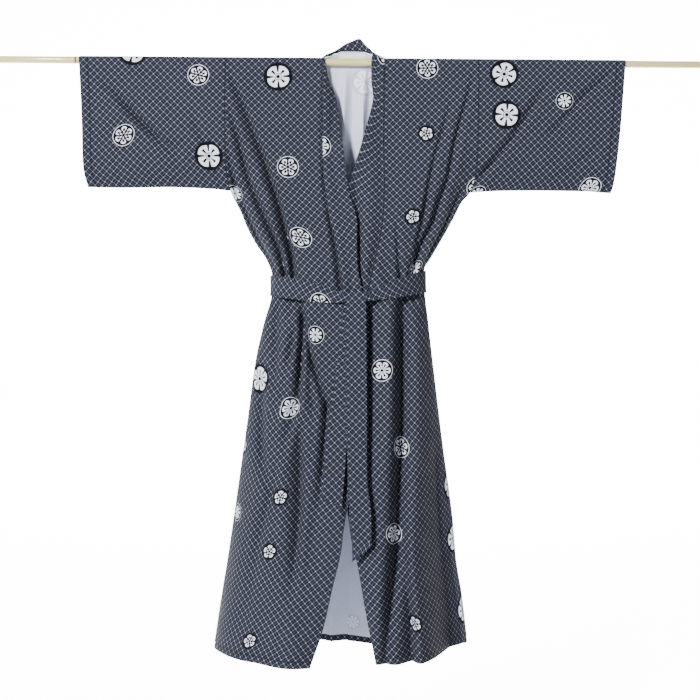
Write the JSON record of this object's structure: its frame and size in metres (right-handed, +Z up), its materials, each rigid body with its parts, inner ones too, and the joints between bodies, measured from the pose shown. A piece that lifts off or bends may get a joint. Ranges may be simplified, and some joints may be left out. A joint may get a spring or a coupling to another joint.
{
  "type": "cotton yukata robe on its hanging rod",
  "caption": "Open-fronted cotton yukata with wide straight sleeves and a collar band, belted at the waist and hung by both sleeves over a bamboo rod.",
  "frame": {"origin": "centre of the hanging rod, on its axis and midway along it", "axes": "+X along the rod towards the wearer's left sleeve, +Y towards the robe's back, +Z up"},
  "size_m": [1.8, 0.2567, 1.4718],
  "materials": {
    "cotton_right": "woven cotton, indigo with a white lattice",
    "cotton_left": "woven cotton, indigo with a white lattice",
    "sleeve_cotton_right": "woven cotton, indigo with a white lattice",
    "sleeve_cotton_left": "woven cotton, indigo with a white lattice",
    "collar_cotton": "woven cotton, doubled",
    "belt_cotton": "woven cotton, doubled",
    "label_tape": "plain woven tape",
    "bamboo": "smooth bamboo, satin"
  },
  "bodies": {
    "root": {"body_right": "cotton_right", "body_left": "cotton_left", "sleeve_right": "sleeve_cotton_right", "sleeve_left": "sleeve_cotton_left", "collar": "collar_cotton", "belt": "belt_cotton", "belt_tail_front": "belt_cotton", "belt_tail_rear": "belt_cotton", "neck_label": "label_tape", "rod": "bamboo"}
  },
  "joints": []
}
